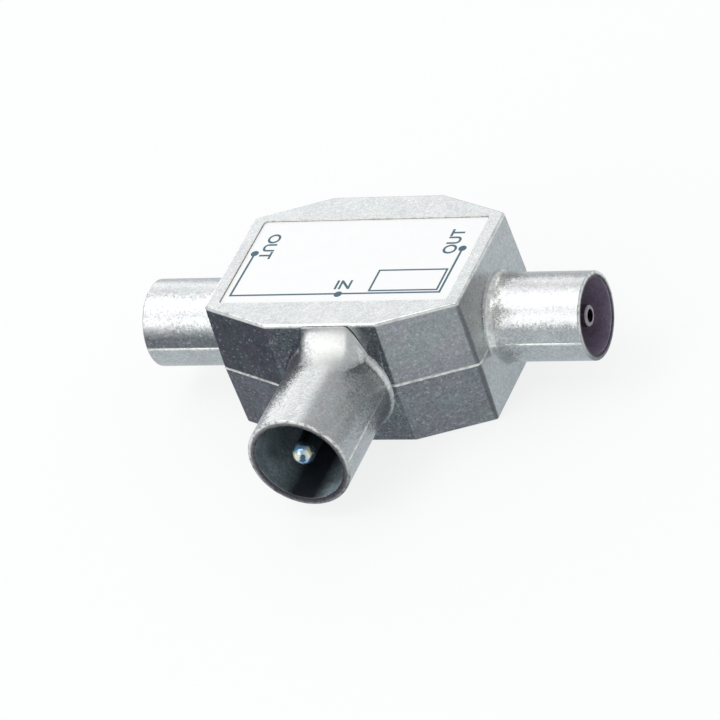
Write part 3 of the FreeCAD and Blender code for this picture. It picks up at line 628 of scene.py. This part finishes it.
# Letters of a given height and width about their middle, turned by so many degrees
def addInkLetters(work, letters, place, height, width, turn):
    curve = bpy.data.curves.new("letters", "FONT")
    curve.body = letters
    curve.align_x = "CENTER"
    curve.align_y = "CENTER"
    curve.size = 1.0
    curve.offset = ink["letterWeight"]
    curve.extrude = ink["thickness"] / 2
    holder = bpy.data.objects.new("letters", curve)
    bpy.context.scene.collection.objects.link(holder)
    bpy.context.view_layer.update()
    mesh = bpy.data.meshes.new_from_object(holder.evaluated_get(bpy.context.evaluated_depsgraph_get()))
    low, high = [[pick(v.co[i] for v in mesh.vertices) for i in (0, 1)] for pick in (min, max)]
    toMiddle = Matrix.Translation((-(low[0] + high[0]) / 2, -(low[1] + high[1]) / 2, 0))
    toSize = Matrix.Diagonal((width / (high[0] - low[0]), height / (high[1] - low[1]), 1, 1))
    toPlace = Matrix.Translation((*place, 0)) @ Matrix.Rotation(math.radians(turn), 4, "Z")
    mesh.transform(toPlace @ toSize @ toMiddle)
    work.from_mesh(mesh)
    bpy.data.objects.remove(holder)
    bpy.data.meshes.remove(mesh)


printWork = bmesh.new()
bracket = ink["bracket"]
left, right, front, back = ink["frame"]
frameCorners = [(left, front), (right, front), (right, back), (left, back), (left, front)]
bars = [(start, end, ink["line"]) for start, end in zip(bracket, bracket[1:])]
bars += [(start, end, ink["frameLine"]) for start, end in zip(frameCorners, frameCorners[1:])]
for layer, (start, end, width) in enumerate(bars):
    addInkBar(printWork, start, end, width, layer)
for place in (bracket[0], bracket[-1], ink["inputDot"]):
    addInkDot(printWork, place)
for letters, place, height, width, turn in ink["words"]:
    addInkLetters(printWork, letters, place, height, width, turn)
bmesh.ops.transform(printWork, matrix=Matrix.Scale(mm, 4) @ Matrix.Translation((0, 0, ink["height"])),
                    verts=printWork.verts)
labelPrint = addObject("labelPrint", printWork, makeInk())
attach(labelPrint, "root")
print("label printed")


# Broad saddle that leads from the top edge down to the front shell and fades along its sides. Sizes are in mm
saddle = {
    "columns": 64,
    "rows": 24,
    "left": (-4.2, -1.5),      # along X, where it starts to rise and where it is at its full height
    "right": (2.7, 5.4),       # where its full height ends, and where it has faded out
    "top": 15.64,
    "reach": 4.0,              # how far it comes forward over the shell
    "leastReach": 0.001,
    "sunk": 0.03,              # how deep its lower edge lies in the shell
    "wallY": 11.2,
    "thickness": 0.4,
    "sharpAngle": 50,
}


# Place in millimetres of a point of the saddle, from its shares of the way to the right and back to the wall
def saddlePoint(across, along):
    start, flatStart = saddle["left"]
    flatEnd, end = saddle["right"]
    x = start + (end - start) * across
    share = min(1.0, max(0.0, (flatStart - x) / (flatStart - start), (x - flatEnd) / (end - flatEnd)))
    fade = 1 - share ** 3 * (6 * share ** 2 - 15 * share + 10)    # even slope and curvature at both ends
    crown = port["height"] + math.sqrt(port["shellRadius"] ** 2 - x ** 2) - saddle["sunk"]
    middleCrown = port["height"] + port["shellRadius"] - saddle["sunk"]
    angle = math.pi / 2 * along
    y = -saddle["wallY"] - max(saddle["reach"] * fade, saddle["leastReach"]) * (1 - math.sin(angle))
    flattening = (middleCrown - crown) * along ** 2 * (3 - 2 * along)
    rise = (saddle["top"] - middleCrown) * (1 - math.cos(angle))
    return Vector((x, y, crown + fade * (flattening + rise)))


# A flat grid one unit wide gives each point its two shares of the way
saddleWork = bmesh.new()
bmesh.ops.create_grid(saddleWork, x_segments=saddle["columns"], y_segments=saddle["rows"], size=0.5)
for vertex in saddleWork.verts:
    vertex.co = saddlePoint(vertex.co.x + 0.5, vertex.co.y + 0.5) * mm
bmesh.ops.solidify(saddleWork, geom=saddleWork.faces[:], thickness=saddle["thickness"] * mm)
bmesh.ops.recalc_face_normals(saddleWork, faces=saddleWork.faces[:])
for face in saddleWork.faces:
    face.smooth = True
for edge in saddleWork.edges:
    edge.smooth = edge.calc_face_angle() < math.radians(saddle["sharpAngle"])
castSaddle = addObject("castSaddle", saddleWork, castSkin)
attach(castSaddle, "root")
print("saddle added")


# Flash along the parting line of the three ports, in mm: its size, how far it stands out, where it runs
flash = {"width": 0.2, "proud": 0.06, "round": 0.042, "sleeve": (15.9, 25.66), "shell": (12.0, 23.75)}
flashWork = bmesh.new()
depth = 2 * flash["proud"]
for sideways in (1, -1):
    start, end = flash["sleeve"]
    size = Matrix.Diagonal((end - start, depth, flash["width"], 1))
    for outwards in (1, -1):
        middle = (outwards * (start + end) / 2, sideways * port["sleeveRadius"], 0)
        bmesh.ops.create_cube(flashWork, size=1, matrix=Matrix.Translation(middle) @ size)
    start, end = flash["shell"]
    size = Matrix.Diagonal((depth, end - start, flash["width"], 1))
    middle = (sideways * port["shellRadius"], -(start + end) / 2, 0)
    bmesh.ops.create_cube(flashWork, size=1, matrix=Matrix.Translation(middle) @ size)
bmesh.ops.bevel(flashWork, geom=flashWork.edges[:], offset=flash["round"], offset_type="OFFSET",
                segments=2, profile=0.5, affect="EDGES", material=-1)
bmesh.ops.transform(flashWork, matrix=Matrix.Scale(mm, 4) @ Matrix.Translation((0, 0, port["height"])),
                    verts=flashWork.verts)
for face in flashWork.faces:
    face.smooth = True
portFlash = addObject("portFlash", flashWork, castSkin)
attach(portFlash, "root")
print("flash added")


# Floor and surroundings
stage = {
    "floor": "#f4f4f5",
    "mirrored": "#dde6ec",     # the floor as the metal shows it
    "lift": 0.8,               # share of the floor's white that doesn't depend on the lamps, seen or mirrored
    "world": "#dfe2e6",
    "worldStrength": 0.84,
    "clear": 0.05,             # mm between the floor and the underside, so that the two don't share a plane
    "halfSize": 1.5,           # of the floor, in metres
}


# Paper sweep: seen and mirrored nearly white, and shaded by the part
def makeFloor():
    work = bmesh.new()
    bmesh.ops.create_grid(work, x_segments=1, y_segments=1, size=stage["halfSize"],
                          matrix=Matrix.Translation((0, 0, -stage["clear"] * mm)))
    material, tree = newMaterial("paperSweep")
    rays = addNode(tree, "LightPath")
    seen = addNode(tree, "Math", (rays["Is Camera Ray"], rays["Is Glossy Ray"]), operation="MAXIMUM")[0]
    seen = addNode(tree, "Math", (seen, rays["Is Transmission Ray"]), operation="MAXIMUM")[0]
    share = addNode(tree, "Math", (seen, stage["lift"]), operation="MULTIPLY")[0]
    tint = paintOver(tree, stage["mirrored"], (rays["Is Camera Ray"], "#ffffff"))
    paper = addNode(tree, "BsdfDiffuse", {"Color": stage["floor"]})[0]
    white = addNode(tree, "Emission", {"Color": tint, "Strength": 1.0})[0]
    surface = addNode(tree, "MixShader", (share, paper, white))[0]
    addNode(tree, "OutputMaterial", [surface])
    floor = addObject("floor", work, material)


makeFloor()

world = bpy.data.worlds.new("studio")
bpy.context.scene.world = world
world.use_nodes = True
world.node_tree.nodes.clear()
sky = addNode(world.node_tree, "Background", {"Color": stage["world"], "Strength": stage["worldStrength"]})[0]
addNode(world.node_tree, "OutputWorld", [sky])

# Each lamp hangs a metre from the target: its direction from there, its size in metres, and its brightness
# as seen, where 1 is white paper
target = Vector((0, -4 * mm, 8 * mm))
lamps = {
    "backLeftSoftbox": {"direction": (-0.44, 0.70, 0.56), "size": (0.45, 0.45), "brightness": 0.86},
    "backSoftbox": {"direction": (-0.13, 0.70, 0.70), "size": (0.26, 0.45), "brightness": 0.95},
    "lowBackLeftSoftbox": {"direction": (-0.70, 0.70, 0.18), "size": (0.55, 0.5), "brightness": 1.2},
    "overheadBackSoftbox": {"direction": (-0.44, 0.25, 0.86), "size": (0.45, 0.45), "brightness": 1.15},
    "overheadSoftbox": {"direction": (-0.44, -0.10, 0.89), "size": (0.45, 0.45), "brightness": 1.65},
    "overheadFrontSoftbox": {"direction": (-0.44, -0.46, 0.77), "size": (0.45, 0.6), "brightness": 1.15},
    "frontLeftSoftbox": {"direction": (-0.44, -0.78, 0.45), "size": (0.45, 0.45), "brightness": 1.7},
    "overheadRightSoftbox": {"direction": (-0.03, -0.33, 0.94), "size": (0.38, 0.45), "brightness": 1.25},
}
for name, lamp in lamps.items():
    light = bpy.data.lights.new(name, "AREA")
    light.shape = "RECTANGLE"
    light.size, light.size_y = lamp["size"]
    light.energy = lamp["brightness"] * math.pi * light.size * light.size_y
    holder = bpy.data.objects.new(name, light)
    away = Vector(lamp["direction"]).normalized()
    holder.location = target + away
    holder.rotation_mode = "QUATERNION"
    holder.rotation_quaternion = away.to_track_quat("Z", "Y")
    bpy.context.scene.collection.objects.link(holder)

# Camera at the photograph's viewing angle: its right, up and back directions, its place in metres, its lens
# and sensor in mm, and how near and far it sees
cameraView = {
    "right": (0.8971, 0.3365, -0.2864),
    "up": (0.0111, 0.6308, 0.7759),
    "back": (0.4418, -0.6992, 0.5621),
    "place": (0.27423, -0.43981, 0.35569),
    "lens": 292.27,
    "sensor": 36,
    "sees": (0.02, 10),
}
camera = bpy.data.cameras.new("camera")
camera.lens = cameraView["lens"]
camera.sensor_width = cameraView["sensor"]
camera.clip_start, camera.clip_end = cameraView["sees"]
cameraHolder = bpy.data.objects.new("camera", camera)
turn = Matrix((cameraView["right"], cameraView["up"], cameraView["back"])).transposed().to_4x4()
cameraHolder.matrix_world = Matrix.Translation(cameraView["place"]) @ turn
bpy.context.scene.collection.objects.link(cameraHolder)
bpy.context.scene.camera = cameraHolder

bpy.context.scene.view_settings.view_transform = "Standard"
print("stage and camera set")
